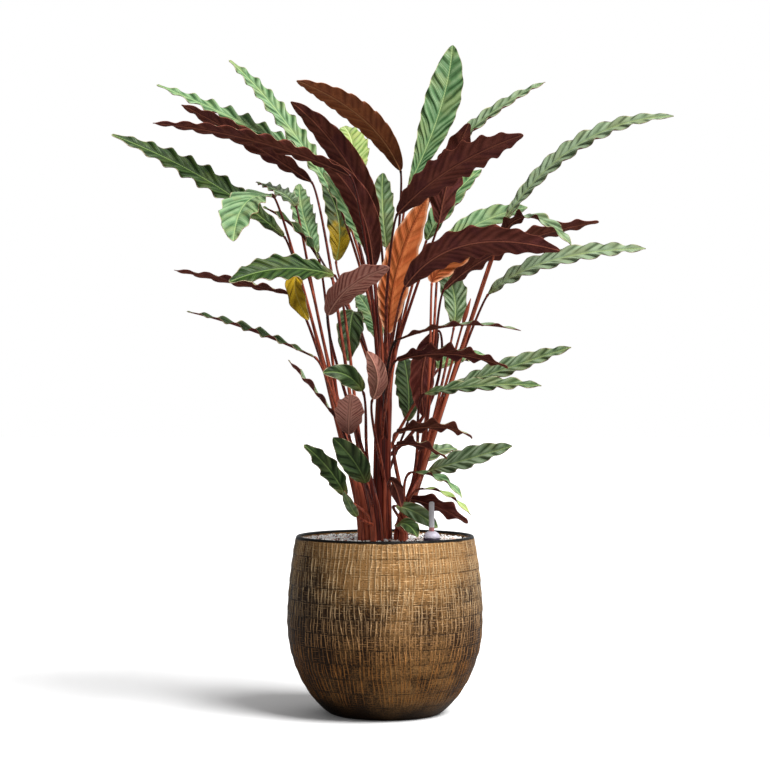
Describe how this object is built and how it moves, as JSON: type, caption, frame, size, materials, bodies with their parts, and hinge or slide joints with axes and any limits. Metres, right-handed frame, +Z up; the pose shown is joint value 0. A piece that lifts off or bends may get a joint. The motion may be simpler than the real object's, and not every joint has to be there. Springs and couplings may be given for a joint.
{
  "type": "potted calathea",
  "caption": "Round bronze-glazed planter of mineral granulate with a bushy calathea: long ruffled leaves, green above and velvety maroon below, and a water gauge.",
  "frame": {"origin": "centre of the planter's flat base", "axes": "+Z up, +X to the right in the picture, +Y away from the camera"},
  "size_m": [0.7117, 0.4758, 0.8761],
  "materials": {
    "planter_glaze": "satin bronze glaze scratched over a dark body",
    "granulate": "loose matt mineral granules",
    "gauge_cap": "satin",
    "gauge_tube": "clear, polished",
    "gauge_float": "satin",
    "stem": "smooth living stalk",
    "leaf_green": "satin above, velvety maroon below",
    "leaf_pale": "satin above, velvety maroon below",
    "leaf_lime": "satin above, velvety below",
    "leaf_deep": "satin above, velvety maroon below",
    "leaf_dark": "velvety",
    "leaf_brown": "velvety",
    "leaf_copper": "velvety",
    "leaf_mauve": "velvety",
    "leaf_yellow": "satin"
  },
  "bodies": {
    "root": {"planter": "planter_glaze", "substrate": "granulate", "gauge_body": "gauge_cap", "gauge_tube": "gauge_tube", "gauge_float": "gauge_float", "shoot_left": "stem", "shoot_front": "stem", "shoot_centre": "stem", "shoot_right": "stem", "shoot_back": "stem", "shoot_low": "stem", "leaf_far_left": "leaf_green", "leaf_left_droop": "leaf_pale", "leaf_left_curl": "leaf_dark", "leaf_left_twist": "leaf_green", "leaf_left_thin_dark": "leaf_dark", "leaf_left_yellow": "leaf_yellow", "leaf_left_thin": "leaf_deep", "leaf_left_low_thin": "leaf_dark", "leaf_left_upper": "leaf_dark", "leaf_left_mid": "leaf_green", "leaf_front_ribbed": "leaf_mauve", "leaf_left_mauve": "leaf_mauve", "leaf_front_deep": "leaf_deep", "leaf_low_left": "leaf_deep", "leaf_left_long": "leaf_dark", "leaf_centre_folded": "leaf_dark", "leaf_right_big": "leaf_dark", "leaf_copper_upright": "leaf_copper", "leaf_right_front": "leaf_dark", "leaf_right_twist": "leaf_dark", "leaf_right_scallop": "leaf_dark", "leaf_right_pale": "leaf_pale", "leaf_far_right": "leaf_green", "leaf_right_curl": "leaf_dark", "leaf_right_long": "leaf_dark", "leaf_right_reach": "leaf_green", "leaf_right_inner_low": "leaf_green", "leaf_right_low": "leaf_green", "leaf_right_low_near": "leaf_green", "leaf_centre_dark": "leaf_dark", "leaf_crest_brown": "leaf_brown", "leaf_crest_upright": "leaf_pale", "leaf_centre_small": "leaf_green", "leaf_right_behind": "leaf_dark", "leaf_high_right": "leaf_green", "leaf_right_inner": "leaf_pale", "leaf_right_back": "leaf_pale", "leaf_inner_dark": "leaf_dark", "leaf_high_left": "leaf_pale", "leaf_high_spear": "leaf_pale", "leaf_back_round": "leaf_lime", "leaf_inner_left": "leaf_pale", "leaf_inner_yellowing": "leaf_yellow", "leaf_back_left": "leaf_pale", "leaf_back_olive": "leaf_deep", "leaf_back_pale": "leaf_pale", "leaf_back_right_olive": "leaf_deep", "leaf_low_thin_dark": "leaf_dark", "leaf_low_right": "leaf_green"}
  },
  "joints": []
}
